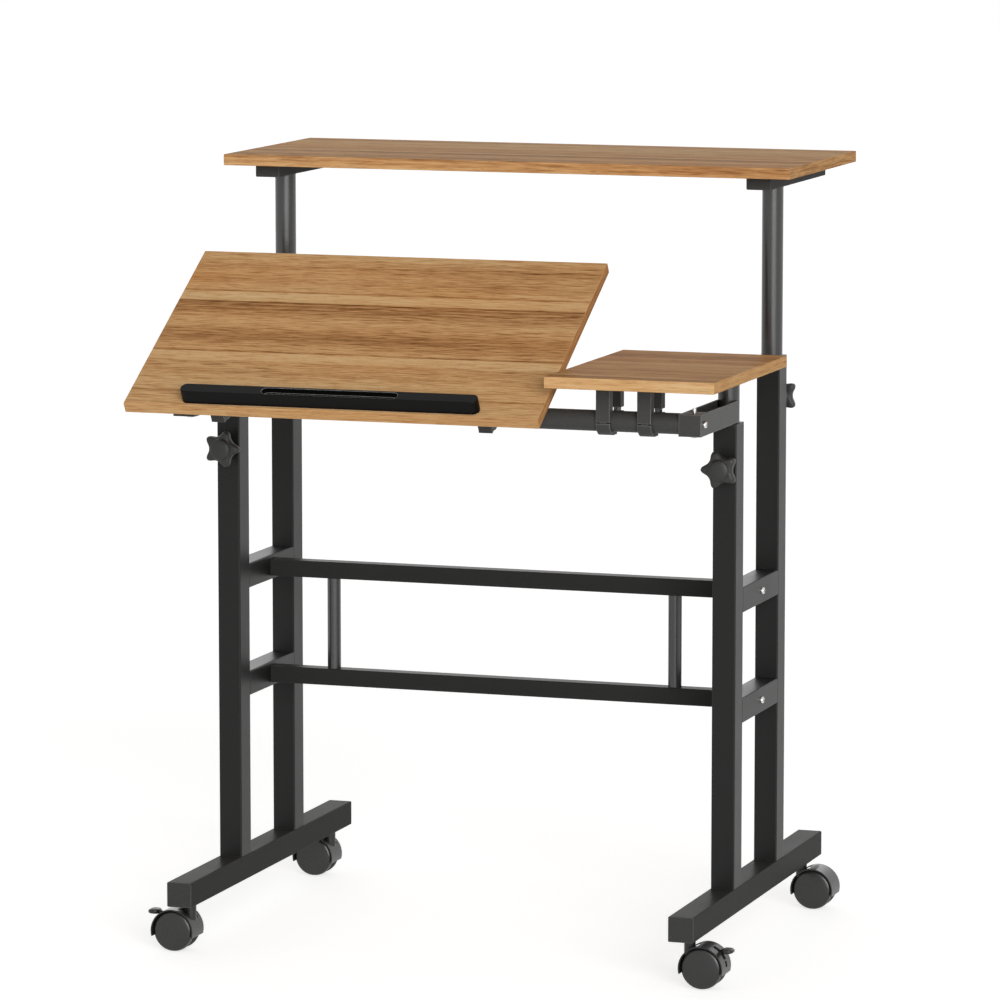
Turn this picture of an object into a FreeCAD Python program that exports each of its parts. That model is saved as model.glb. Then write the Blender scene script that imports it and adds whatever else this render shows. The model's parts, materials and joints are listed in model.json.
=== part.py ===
import FreeCAD, Part
import os
import re

import Sketcher

os.makedirs("parts", exist_ok=True)
doc = FreeCAD.newDocument("Desk")
sheet = doc.addObject("Spreadsheet::Sheet", "Dim")
V = FreeCAD.Vector

# Driving dimensions in millimetres and degrees, with what each one is
SIZES = [
    ("frame_y", 14.45, "middle of the feet, front to back, from the origin"),
    ("post_x", 304.7, "post axis from the middle plane"),
    ("post_y", 89.6, "post axis from the middle of the feet"),
    ("wall", 1.2, "wall of the frame tubes"),
    ("edge_r", 1.6, "outer corner radius of the frame tubes"),
    ("plate", 3.0, "welded end plates"),
    ("foot_w", 30.0, "foot width"),
    ("foot_h", 29.4, "foot height"),
    ("foot_len", 542.6, "foot length"),
    ("foot_z", 57.8, "underside of the feet"),
    ("post_w", 28.0, "outer post width"),
    ("post_d", 32.0, "outer post depth"),
    ("front_post_top", 627.0, "top of the front outer posts"),
    ("rear_post_top", 686.0, "top of the rear outer posts"),
    ("bar_w", 28.0, "side bar width"),
    ("bar_h", 29.6, "side bar height"),
    ("upper_z", 421.4, "middle height of the upper bars"),
    ("lower_z", 292.1, "middle height of the lower bars"),
    ("rails_y", 4.8, "cross rail axis behind the middle of the feet"),
    ("rails_w", 20.0, "cross rail width and height"),
    ("brace_r", 8.0, "brace rod radius"),
    ("brace_x", 213.0, "brace rod axis from the middle plane"),
    ("bush_lip", 2.0, "guide bush lip on top of a post"),
    ("bush_w", 18.0, "guide bush tongue width"),
    ("bush_len", 36.0, "guide bush tongue length"),
    ("inner_r", 12.5, "inner tube radius"),
    ("inner_wall", 1.5, "inner tube wall"),
    ("run_gap", 0.08, "running clearance"),
    ("fit_gap", 0.1, "clearance of pieces pushed together"),
    ("hole_gap", 0.3, "clearance of bolts and screws in their holes"),
    ("front_tube_top", 674.0, "top of the front inner tubes"),
    ("front_tube_low", 200.0, "lower end of the front inner tubes"),
    ("rear_tube_low", 330.0, "lower end of the rear inner tubes"),
    ("cap_lip", 2.0, "lip of a tube cap"),
    ("cap_plug", 12.0, "plug of a tube cap"),
    ("arm_w", 26.3, "end bracket width"),
    ("arm_h", 25.1, "end bracket height"),
    ("arm_z", 630.5, "underside of the end brackets"),
    ("arm_front", 245.0, "front of the end brackets ahead of the middle of the feet"),
    ("arm_box", 31.0, "closed front part of an end bracket"),
    ("arm_wall", 2.0, "end bracket plate"),
    ("rail_r", 12.0, "desk rail radius"),
    ("rail_y", 232.0, "desk rail axis ahead of the middle of the feet"),
    ("rail_z", 643.5, "desk rail axis height"),
    ("stay_y", 5.6, "upright bolt behind the desk rail axis"),
    ("stay_r", 2.0, "upright bolt shank radius"),
    ("stay_tip", 5.4, "upright bolt above the end bracket"),
    ("tilt", 30.6, "slope of the tilting board"),
    ("board_t", 13.2, "board thickness"),
    ("board_r", 0.8, "rounding of the board edges"),
    ("overhang", 70.0, "board edge ahead of the desk rail axis"),
    ("tilt_seat", 38.8, "tilting board underside above the desk rail axis"),
    ("tilt_left", -350.0, "left edge of the tilting board"),
    ("tilt_right", 149.5, "right edge of the tilting board"),
    ("tilt_depth", 300.0, "tilting board depth"),
    ("side_seat", 42.6, "side board underside above the desk rail axis"),
    ("side_left", 151.0, "left edge of the side board"),
    ("side_right", 350.0, "right edge of the side board"),
    ("side_depth", 296.4, "side board depth"),
    ("shelf_len", 700.0, "shelf length"),
    ("shelf_depth", 293.5, "shelf depth"),
    ("shelf_front", 1.1, "shelf edge behind the middle of the feet"),
    ("shelf_top", 915.3, "top of the shelf"),
    ("carrier_w", 29.5, "shelf carrier width"),
    ("carrier_h", 15.1, "shelf carrier height"),
    ("carrier_len", 238.3, "shelf carrier length"),
    ("carrier_front", 28.7, "shelf carrier behind the middle of the feet"),
    ("carrier_inset", 32.0, "shelf screw from the end of a carrier"),
    ("tilt_clamp_left", -264.0, "left clamp of the tilting board"),
    ("tilt_clamp_right", 61.5, "right clamp of the tilting board"),
    ("side_clamp_left", 203.3, "left clamp of the side board"),
    ("side_clamp_right", 252.0, "right clamp of the side board"),
    ("clamp_w", 16.3, "clamp leg width"),
    ("clamp_back", 3.8, "back of the front clamp leg ahead of the rail axis"),
    ("clamp_r", 16.0, "outer radius of the clamp hook"),
    ("grip_gap", 0.05, "gap of a tight joint"),
    ("seam", 0.2, "gap at the back of a clamp and round the hook's tongue"),
    ("lip", 0.7, "half of the gap between a clamp's front leg and its hook"),
    ("lip_drop", 0.9, "middle of that gap below the rail axis"),
    ("heel", 12.5, "squared back of the clamp hook behind the rail axis"),
    ("toe", 12.4, "squared front of the tilting board's hooks below the rail axis"),
    ("flange_w", 36.0, "clamp flange length along the rail"),
    ("flange_t", 2.5, "clamp flange thickness"),
    ("flange_screw", 13.5, "clamp screw from the clamp's middle"),
    ("ear_w", 13.0, "clamp ear and rear leg width"),
    ("ear_t", 4.0, "clamp ear thickness"),
    ("ear_top", 7.4, "top of the clamp ear above the rail axis"),
    ("ear_out", 44.0, "clamp ear and flange reach behind the rail axis"),
    ("ear_bolt", 38.0, "clamp bolt behind the rail axis"),
    ("lock_t", 4.4, "clamp nut height"),
    ("leg_d", 12.0, "depth of the rear clamp leg"),
    ("tongue_w", 7.6, "hook tongue width"),
    ("tongue_t", 2.1, "hook tongue thickness"),
    ("tongue_h", 6.5, "hook tongue height"),
    ("stop_left", -280.0, "left end of the ledge"),
    ("stop_right", 78.0, "right end of the ledge"),
    ("stop_d", 16.0, "ledge depth"),
    ("stop_h", 17.0, "ledge height"),
    ("stop_set", 4.0, "ledge behind the board edge"),
    ("stop_end_r", 7.4, "rounded ends of the ledge"),
    ("stop_r", 1.2, "rounded top of the ledge"),
    ("slot_left", -181.0, "left end of the pen slot"),
    ("slot_right", -17.0, "right end of the pen slot"),
    ("slot_w", 11.4, "pen slot width"),
    ("slot_set", 0.7, "pen slot's middle ahead of the ledge's middle"),
    ("slot_deep", 7.0, "pen slot depth"),
    ("stop_screw", 40.0, "ledge screw from the end of the ledge"),
    ("front_knob_z", 578.5, "height of the front knobs"),
    ("rear_knob_z", 637.0, "height of the rear knobs"),
    ("boss_r", 8.0, "threaded boss radius"),
    ("boss_t", 6.0, "threaded boss height"),
    ("knob_gap", 0.4, "gap between boss and knob"),
    ("knob_r", 22.3, "knob radius over the lobes"),
    ("knob_t", 12.0, "knob lobe thickness"),
    ("lobe_r", 3.8, "rounding of the lobe tips"),
    ("rim_r", 2.8, "rounding of the lobe rims"),
    ("dome_r", 3.2, "rounding of the hub"),
    ("knob_dent", 12.0, "radius of the hollows between the lobes"),
    ("knob_dent_x", 27.4, "hollow centre from the knob axis"),
    ("neck_r", 9.0, "knob neck radius"),
    ("neck_t", 8.0, "knob neck length"),
    ("hub_r", 12.2, "knob hub radius"),
    ("hub_t", 24.0, "knob length over neck, lobes and hub"),
    ("stud_r", 3.95, "knob stud radius"),
    ("stud_in", 12.0, "knob stud inside the hub"),
    ("tip_gap", 0.3, "gap between stud and inner tube"),
    ("caster_y", 235.0, "caster stem from the middle of the feet"),
    ("trail", 17.3, "wheel axle from the caster stem"),
    ("wheel_r", 24.0, "wheel radius"),
    ("wheel_w", 10.6, "wheel width"),
    ("wheel_in", 7.0, "inner face of a wheel from the caster's middle"),
    ("wheel_edge", 2.6, "rounding of the wheel edges"),
    ("bore_deep", 9.0, "depth of a wheel bore"),
    ("axle_r", 3.0, "axle radius"),
    ("axle_len", 30.0, "axle length"),
    ("hood_r", 26.3, "hood radius"),
    ("hood_in", 24.9, "inner radius of the hood"),
    ("hood_w", 36.0, "hood width"),
    ("hood_arc", 209.0, "arc of the hood in degrees"),
    ("web_w", 12.0, "hood web width"),
    ("web_low", 17.5, "lower edge of the hood web"),
    ("notch_u", 12.5, "end of the hood's notch from the caster stem"),
    ("notch_w", 21.0, "width of the hood's notch"),
    ("notch_low", 38.0, "floor of the hood's notch"),
    ("socket_r", 6.6, "stem socket radius"),
    ("socket_low", 20.0, "lower end of the stem socket"),
    ("socket_top", 55.6, "top of the stem socket"),
    ("pin_r", 4.5, "swivel pin radius"),
    ("pin_low", 29.0, "lower end of the swivel pin"),
    ("collar_r", 7.0, "stem collar radius"),
    ("collar_t", 1.6, "stem collar thickness"),
    ("thread_r", 4.0, "stem thread radius"),
    ("thread_len", 15.0, "stem thread length"),
    ("nut_r", 7.5, "stem nut radius over the corners"),
    ("nut_t", 6.4, "stem nut height"),
    ("lever_u", 33.5, "brake lever pivot from the caster stem"),
    ("lever_z", 39.5, "brake lever pivot height"),
    ("lever_w", 7.6, "brake lever arm width"),
    ("lever_t", 3.4, "brake lever thickness"),
    ("lever_rise", 2.6, "underside of the brake lever above its pivot"),
    ("barrel_r", 3.6, "brake lever barrel radius"),
    ("trunnion_r", 1.5, "brake lever trunnion radius"),
    ("paddle_u", 40.0, "inner edge of the brake paddle from the stem"),
    ("paddle_w", 18.0, "brake paddle width"),
    ("paddle_r", 5.8, "brake paddle corner radius"),
    ("paddle_t", 6.0, "brake paddle thickness"),
    ("paddle_drop", 0.9, "underside of the brake paddle below the lever's arm"),
    ("paddle_edge", 2.2, "rounding of the brake paddle"),
    ("mouth_w", 8.4, "width of the hood's opening for the lever"),
    ("mouth_r", 5.5, "hood's opening round the lever pivot"),
    ("window_w", 6.0, "hood slot width"),
    ("window_low", 25.4, "lower end of the hood slot"),
    ("window_top", 32.4, "upper end of the hood slot"),
    ("reach", 52.3, "brake paddle tip from the stem"),
    ("bolt_head_r", 4.2, "frame bolt head radius"),
    ("bolt_head_t", 3.2, "frame bolt head height"),
    ("bolt_r", 3.0, "frame bolt shank radius"),
    ("rail_head_r", 4.2, "desk rail bolt head radius"),
    ("rail_head_t", 3.2, "desk rail bolt head height"),
    ("small_head_r", 4.6, "clamp bolt head radius"),
    ("small_head_t", 3.2, "clamp bolt head height"),
    ("small_r", 2.5, "clamp bolt shank radius"),
    ("screw_head_r", 3.7, "wood screw head radius"),
    ("screw_head_t", 2.2, "wood screw head height"),
    ("screw_r", 1.9, "wood screw shank radius"),
    ("screw_bite", 9.0, "wood screw length in a board"),
]

for row, (alias, value, meaning) in enumerate(SIZES, 1):
    sheet.set("A%d" % row, meaning)
    sheet.set("B%d" % row, str(value))
    sheet.setAlias("B%d" % row, alias)
doc.recompute()
NAMES = {alias for alias, value, meaning in SIZES}


# Expressions name cells by their alias alone
def cells(text):
    return re.sub(r"[a-z_]+", lambda m: "Dim." + m.group(0) if m.group(0) in NAMES else m.group(0), text)


def bind(obj, prop, text):
    obj.setExpression(prop, cells(text))


def at(obj, x, y, z):
    bind(obj, "Placement.Base.x", x)
    bind(obj, "Placement.Base.y", y)
    bind(obj, "Placement.Base.z", z)
    return obj


# Turns that carry an object's own Z axis to the named direction
TURNS = {
    "z": FreeCAD.Rotation(),
    "-z": FreeCAD.Rotation(V(1, 0, 0), 180),
    "x": FreeCAD.Rotation(V(0, 1, 0), 90),
    "-x": FreeCAD.Rotation(V(0, 1, 0), -90),
    "y": FreeCAD.Rotation(V(1, 0, 0), -90),
    "-y": FreeCAD.Rotation(V(1, 0, 0), 90),
}


def aim(obj, axis, spin=0):
    turn = TURNS[axis].multiply(FreeCAD.Rotation(V(0, 0, 1), spin))
    obj.Placement = FreeCAD.Placement(V(0, 0, 0), turn)
    return obj


# Part primitives and booleans
def box(name, size, corner):
    made = doc.addObject("Part::Box", name)
    for prop, text in zip(("Length", "Width", "Height"), size):
        bind(made, prop, text)
    return at(made, *corner)


def block(name, x, y, z):
    low = (x[0], y[0], z[0])
    size = ["(%s) - (%s)" % (b, a) for a, b in (x, y, z)]
    return box(name, size, low)


def rod(name, radius, length, base, axis="z"):
    made = doc.addObject("Part::Cylinder", name)
    bind(made, "Radius", radius)
    bind(made, "Height", length)
    aim(made, axis)
    return at(made, *base)


def prism(name, radius, length, base, axis="z"):
    made = doc.addObject("Part::Prism", name)
    made.Polygon = 6
    bind(made, "Circumradius", radius)
    bind(made, "Height", length)
    aim(made, axis)
    return at(made, *base)


def fuse(name, *shapes):
    made = doc.addObject("Part::MultiFuse", name)
    made.Shapes = list(shapes)
    return made


def cut(name, base, *tools):
    made = doc.addObject("Part::Cut", name)
    made.Base = base
    made.Tool = tools[0] if len(tools) == 1 else fuse(name + "_tools", *tools)
    return made


def group(name, members):
    made = doc.addObject("Part::Compound", name)
    made.Links = list(members)
    return made


# Sketches on a body's own base plane
def sketch_on(body, name):
    plane = [p for p in body.Origin.OriginFeatures if p.Role == "XY_Plane"][0]
    sketch = body.newObject("Sketcher::SketchObject", name)
    sketch.AttachmentSupport = [(plane, "")]
    sketch.MapMode = "FlatFace"
    return sketch


def raised(sketch, height):
    bind(sketch, "AttachmentOffset.Base.z", height)
    return sketch


def add_rectangle(sketch, width, height):
    corners = [V(-5, -5, 0), V(5, -5, 0), V(5, 5, 0), V(-5, 5, 0)]
    sides = []
    for k in range(4):
        line = Part.LineSegment(corners[k], corners[(k + 1) % 4])
        sides.append(sketch.addGeometry(line, False))
    for k in range(4):
        sketch.addConstraint(Sketcher.Constraint("Coincident", sides[k], 2, sides[(k + 1) % 4], 1))
        kind = "Horizontal" if k % 2 == 0 else "Vertical"
        sketch.addConstraint(Sketcher.Constraint(kind, sides[k]))
    sketch.addConstraint(Sketcher.Constraint("Symmetric", sides[0], 1, sides[1], 2, -1, 1))
    wide = sketch.addConstraint(Sketcher.Constraint("DistanceX", sides[0], 1, sides[0], 2, 10.0))
    tall = sketch.addConstraint(Sketcher.Constraint("DistanceY", sides[1], 1, sides[1], 2, 10.0))
    bind(sketch, "Constraints[%d]" % wide, width)
    bind(sketch, "Constraints[%d]" % tall, height)


def add_circle(sketch, radius, along=None):
    ring = sketch.addGeometry(Part.Circle(V(8 if along else 0, 0, 0), V(0, 0, 1), 4), False)
    if along:
        sketch.addConstraint(Sketcher.Constraint("PointOnObject", ring, 3, -1))
        out = sketch.addConstraint(Sketcher.Constraint("DistanceX", -1, 1, ring, 3, 8.0))
        bind(sketch, "Constraints[%d]" % out, along)
    else:
        sketch.addConstraint(Sketcher.Constraint("Coincident", ring, 3, -1, 1))
    size = sketch.addConstraint(Sketcher.Constraint("Radius", ring, 4.0))
    bind(sketch, "Constraints[%d]" % size, radius)


def extrude(body, kind, sketch, length, back=False):
    made = body.newObject("PartDesign::" + kind, sketch.Name + "_" + kind.lower())
    made.Profile = sketch
    made.Reversed = back
    bind(made, "Length", length)
    doc.recompute()
    return made


def soften(body, feature, radius, wanted):
    names = ["Edge%d" % (k + 1) for k, edge in enumerate(feature.Shape.Edges) if wanted(edge)]
    made = body.newObject("PartDesign::Fillet", body.Name + "_round")
    made.Base = (feature, names)
    bind(made, "Radius", radius)
    doc.recompute()
    return made


def is_upright(edge):
    return edge.BoundBox.ZLength > 0.5 and edge.BoundBox.XLength + edge.BoundBox.YLength < 0.01


def level_at(height):
    return lambda edge: edge.BoundBox.ZLength < 0.01 and abs(edge.BoundBox.ZMin - height) < 0.01


# A rounded bar along its own Z axis
def beam(name, width, depth, length):
    body = doc.addObject("PartDesign::Body", name)
    sketch = sketch_on(body, name + "_profile")
    add_rectangle(sketch, width, depth)
    pad = extrude(body, "Pad", sketch, length)
    soften(body, pad, "edge_r", is_upright)
    return body


# A flat board with all its edges eased
def slab(name, width, depth, thickness):
    body = doc.addObject("PartDesign::Body", name)
    sketch = sketch_on(body, name + "_outline")
    add_rectangle(sketch, width, depth)
    pad = extrude(body, "Pad", sketch, thickness)
    soften(body, pad, "board_r", lambda edge: True)
    return body


# A domed bolt, head above its own XY plane and shank below, with a hexagon socket
def bolt(name, head_r, head_t, shank_r, shank_len):
    body = doc.addObject("PartDesign::Body", name + "_turned")
    head = sketch_on(body, name + "_head")
    add_circle(head, head_r)
    pad = extrude(body, "Pad", head, head_t)
    soften(body, pad, head_t + " * 0.75", level_at(pad.Length.Value))
    shank = sketch_on(body, name + "_shank")
    add_circle(shank, shank_r)
    extrude(body, "Pad", shank, shank_len, back=True)
    socket = prism(name + "_socket", head_r + " * 0.45", head_t, ("0", "0", head_t + " * 0.45"))
    return cut(name, body, socket)


def nut(name, radius, height, bore):
    outside = prism(name + "_hex", radius, height, ("0", "0", "0"))
    return cut(name, outside, rod(name + "_bore", bore, height + " + 2", ("0", "0", "-1")))


LEFT, RIGHT = -1, 1
SIDES = (("left", LEFT), ("right", RIGHT))
nodes = []


def keep(obj, label):
    obj.Label = label
    nodes.append(obj)
    return obj


def post_at(side, end):
    return "%d * post_x" % side, "frame_y + %d * post_y" % end


# Feet: closed tubes with holes for the caster stems
def foot(name, side):
    x = "%d * post_x" % side
    bar = aim(beam(name + "_bar", "foot_w", "foot_h", "foot_len"), "y")
    at(bar, x, "frame_y - foot_len / 2", "foot_z + foot_h / 2")
    hollow = block(
        name + "_hollow",
        (x + " - foot_w / 2 + wall", x + " + foot_w / 2 - wall"),
        ("frame_y - foot_len / 2 + plate", "frame_y + foot_len / 2 - plate"),
        ("foot_z + wall", "foot_z + foot_h - wall"),
    )
    holes = []
    for k, end in enumerate((-1, 1)):
        place = (x, "frame_y + %d * caster_y" % end, "foot_z - 1")
        holes.append(rod("%s_hole_%d" % (name, k), "thread_r + hole_gap", "wall + 2", place))
    return cut(name, bar, hollow, *holes)


# Outer posts: open tubes standing on the feet, with a hole for the knob stud
def outer_post(name, side, end, top, knob_z):
    x, y = post_at(side, end)
    bar = beam(name + "_bar", "post_w", "post_d", top + " - foot_z - foot_h")
    at(bar, x, y, "foot_z + foot_h")
    hollow = block(
        name + "_hollow",
        (x + " - post_w / 2 + wall", x + " + post_w / 2 - wall"),
        (y + " - post_d / 2 + wall", y + " + post_d / 2 - wall"),
        ("foot_z + foot_h - 1", top + " + 1"),
    )
    axis = "-y" if end < 0 else "y"
    hole = rod(name + "_stud_hole", "stud_r + hole_gap", "post_d / 2 + 2", (x, y, knob_z), axis)
    return cut(name, bar, hollow, hole)


# Guide bush: a lip on the post and two tongues beside the inner tube
def guide_bush(name, side, end, top):
    x, y = post_at(side, end)
    lip = at(beam(name + "_lip", "post_w", "post_d", "bush_lip"), x, y, top)
    depths = {
        "front": (y + " - post_d / 2 + wall + fit_gap", y + " - inner_r + 3"),
        "back": (y + " + inner_r - 3", y + " + post_d / 2 - wall - fit_gap"),
    }
    tongues = [
        block(
            "%s_tongue_%s" % (name, word),
            (x + " - bush_w / 2", x + " + bush_w / 2"),
            depth,
            (top + " - bush_len", top + " + bush_lip / 2"),
        )
        for word, depth in depths.items()
    ]
    start = (x, y, top + " - bush_len - 1")
    bore = rod(name + "_bore", "inner_r + run_gap", "bush_len + bush_lip + 2", start)
    return cut(name, fuse(name + "_solid", lip, *tongues), bore)


# Threaded boss that takes a knob's stud
def stud_boss(name, side, end, knob_z):
    x, y = post_at(side, end)
    axis = "-y" if end < 0 else "y"
    face = "%s + %d * post_d / 2" % (y, end)
    body = rod(name + "_body", "boss_r", "boss_t", (x, face, knob_z), axis)
    start = "%s + %d * (post_d / 2 - 1)" % (y, end)
    return cut(name, body, rod(name + "_bore", "stud_r + run_gap", "boss_t + 2", (x, start, knob_z), axis))


posts = (("front", -1, "front_post_top", "front_knob_z"), ("rear", 1, "rear_post_top", "rear_knob_z"))
bushes = []
bosses = []
for word, side in SIDES:
    keep(foot("%s_foot_tube" % word, side), "%s_foot" % word)
    for place, end, top, knob_z in posts:
        tag = "%s_%s" % (place, word)
        keep(outer_post(tag + "_post_tube", side, end, top, knob_z), "%s_%s_outer_post" % (place, word))
        bushes.append(guide_bush(tag + "_bush", side, end, top))
        bosses.append(stud_boss(tag + "_boss", side, end, knob_z))
keep(group("bush_set", bushes), "post_guide_bushes")
keep(group("boss_set", bosses), "knob_bosses")


# Side bars between the posts of one foot, drilled for the cross rail bolts
def side_bar(name, side, height):
    x = "%d * post_x" % side
    length = "2 * post_y - post_d"
    bar = aim(beam(name + "_bar", "bar_w", "bar_h", length), "y")
    at(bar, x, "frame_y - post_y + post_d / 2", height)
    hollow = block(
        name + "_hollow",
        (x + " - bar_w / 2 + wall", x + " + bar_w / 2 - wall"),
        ("frame_y - post_y", "frame_y + post_y"),
        (height + " - bar_h / 2 + wall", height + " + bar_h / 2 - wall"),
    )
    start = (x + " - bar_w / 2 - 2", "frame_y + rails_y", height)
    hole = rod(name + "_hole", "bolt_r + hole_gap", "bar_w + 4", start, "x")
    return cut(name, bar, hollow, hole)


# Cross rails between the two sides, closed by drilled end plates
def cross_rail(name, height):
    span = "post_x - bar_w / 2"
    bar = aim(beam(name + "_bar", "rails_w", "rails_w", "2 * (%s)" % span), "x")
    at(bar, "-1 * (%s)" % span, "frame_y + rails_y", height)
    hollow = block(
        name + "_hollow",
        ("plate - (%s)" % span, "%s - plate" % span),
        ("frame_y + rails_y - rails_w / 2 + wall", "frame_y + rails_y + rails_w / 2 - wall"),
        (height + " - rails_w / 2 + wall", height + " + rails_w / 2 - wall"),
    )
    start = ("-1 * post_x", "frame_y + rails_y", height)
    hole = rod(name + "_hole", "bolt_r + hole_gap", "2 * post_x", start, "x")
    return cut(name, bar, hollow, hole)


levels = (("upper", "upper_z"), ("lower", "lower_z"))
side_bars = []
frame_bolts = []
for word, side in SIDES:
    for level, height in levels:
        side_bars.append(side_bar("%s_%s_bar" % (word, level), side, height))
        made = bolt("%s_%s_bolt" % (word, level), "bolt_head_r", "bolt_head_t", "bolt_r", "bar_w + plate + 6")
        aim(made, "x" if side > 0 else "-x")
        frame_bolts.append(at(made, "%d * (post_x + bar_w / 2)" % side, "frame_y + rails_y", height))
for level, height in levels:
    keep(cross_rail(level + "_rail_tube", height), "%s_cross_rail" % level)
keep(group("side_bar_set", side_bars), "side_bars")
keep(group("frame_bolt_set", frame_bolts), "cross_rail_bolts")

# Upright braces between the two cross rails
braces = []
for word, side in SIDES:
    low = "lower_z + rails_w / 2"
    length = "upper_z - lower_z - rails_w"
    base = ("%d * brace_x" % side, "frame_y + rails_y", low)
    bore = (base[0], base[1], low + " - 1")
    braces.append(
        cut(
            word + "_brace",
            rod(word + "_brace_rod", "brace_r", length, base),
            rod(word + "_brace_bore", "brace_r - inner_wall", length + " + 2", bore),
        )
    )
keep(group("brace_set", braces), "brace_rods")


# Inner tubes that slide in the posts
def inner_tube(name, side, end, low, top):
    x, y = post_at(side, end)
    length = "%s - %s" % (top, low)
    outer = rod(name + "_outer", "inner_r", length, (x, y, low))
    bore = rod(name + "_bore", "inner_r - inner_wall", length + " + 2", (x, y, low + " - 1"))
    return cut(name, outer, bore)


def tube_cap(name, side):
    x, y = post_at(side, -1)
    lip = rod(name + "_lip", "inner_r", "cap_lip", (x, y, "front_tube_top"))
    plug_r = "inner_r - inner_wall - fit_gap"
    return fuse(name, lip, rod(name + "_plug", plug_r, "cap_plug + 1", (x, y, "front_tube_top - cap_plug")))


# End brackets: a closed box in front and two plates running back to the inner tube
def end_bracket(name, side):
    x, y = post_at(side, -1)
    left, right = x + " - arm_w / 2", x + " + arm_w / 2"
    front = "frame_y - arm_front"
    back = "frame_y - post_y - 4"
    low, high = "arm_z", "arm_z + arm_h"
    inner = (left + " + arm_wall", right + " - arm_wall")
    solid = block(name + "_solid", (left, right), (front, back), (low, high))
    room = block(
        name + "_room",
        inner,
        (front + " + arm_wall", back + " + 1"),
        (low + " + arm_wall", high + " - arm_wall"),
    )
    gap = block(name + "_gap", inner, (front + " + arm_box", back + " + 1"), (low + " - 1", high + " + 1"))
    tube = rod(name + "_tube", "inner_r + grip_gap", "arm_h + 4", (x, y, "arm_z - 2"))
    start = (left + " - 2", "frame_y - rail_y", "rail_z")
    across = rod(name + "_across", "bolt_r + hole_gap", "arm_w + 4", start, "x")
    foot_of_stay = (x, "frame_y - rail_y + stay_y", "arm_z - 2")
    stay = rod(name + "_stay", "stay_r + hole_gap", "arm_h + 4", foot_of_stay)
    return cut(name, solid, room, gap, tube, across, stay)


rail_span = "post_x - arm_w / 2"
rail_bolts = []
caps = []
for word, side in SIDES:
    name = "front_%s_tube" % word
    keep(inner_tube(name, side, -1, "front_tube_low", "front_tube_top"), "front_%s_inner_tube" % word)
    keep(end_bracket("%s_arm" % word, side), "%s_end_bracket" % word)
    caps.append(tube_cap("%s_cap" % word, side))
    across = bolt(word + "_rail_bolt", "rail_head_r", "rail_head_t", "bolt_r", "arm_w + plate + 6")
    aim(across, "x" if side > 0 else "-x")
    at(across, "%d * (post_x + arm_w / 2)" % side, "frame_y - rail_y", "rail_z")
    stay = bolt(word + "_stay_bolt", "small_head_r", "small_head_t", "stay_r", "arm_h + stay_tip")
    at(aim(stay, "-z"), "%d * post_x" % side, "frame_y - rail_y + stay_y", "arm_z")
    rail_bolts.extend((across, stay))
keep(group("cap_set", caps), "inner_tube_caps")
keep(group("rail_bolt_set", rail_bolts), "desk_rail_bolts")

# The round rail that carries both boards, closed by drilled end plates
rail_at = "-1 * (%s)" % rail_span
rail_line = ("frame_y - rail_y", "rail_z")
rail_bar = rod("rail_bar", "rail_r", "2 * (%s)" % rail_span, (rail_at,) + rail_line, "x")
bore_at = "plate - (%s)" % rail_span
bore_len = "2 * (%s - plate)" % rail_span
rail_bore = rod("rail_bore", "rail_r - inner_wall", bore_len, (bore_at,) + rail_line, "x")
rail_hole = rod("rail_hole", "bolt_r + hole_gap", "2 * post_x", ("-1 * post_x",) + rail_line, "x")
keep(cut("rail_tube", rail_bar, rail_bore, rail_hole), "desk_rail")


# Clamp: flange under the board, a saddled front leg and a short rear leg; origin on the rail axis
def clamp(name, centre, seat):
    wide = (centre + " - clamp_w / 2", centre + " + clamp_w / 2")
    narrow = (centre + " - ear_w / 2", centre + " + ear_w / 2")
    under = seat + " - flange_t"
    flange = block(
        name + "_flange",
        (centre + " - flange_w / 2", centre + " + flange_w / 2"),
        ("-1 * clamp_r", "ear_out"),
        (under, seat),
    )
    front = block(name + "_front", wide, ("-1 * clamp_r", "-1 * clamp_back"), ("lip - lip_drop", under + " + 1"))
    heights = ("ear_top + lock_t + seam", under + " + 1")
    back = block(name + "_back", narrow, ("ear_out - leg_d", "ear_out"), heights)
    rail = rod(name + "_rail", "rail_r + grip_gap", "clamp_w + 4", (wide[0] + " - 2", "0", "0"), "x")
    slot = block(
        name + "_slot",
        (centre + " - tongue_w / 2 - seam", centre + " + tongue_w / 2 + seam"),
        ("-1 * rail_r - tongue_t - 0.9", "-1 * rail_r + 2"),
        ("-1 * lip_drop", "tongue_h + 2 * seam + fit_gap"),
    )
    hole = rod(name + "_hole", "small_r + fit_gap", "16", (centre, "ear_bolt", "ear_top + lock_t"))
    screws = [
        rod(
            "%s_screw_%d" % (name, k),
            "screw_r + hole_gap",
            "flange_t + 2",
            ("%s + %d * flange_screw" % (centre, k), "ear_bolt / 3", under + " - 1"),
        )
        for k in (-1, 1)
    ]
    return cut(name, fuse(name + "_solid", flange, front, back), rail, slot, hole, *screws)


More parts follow.
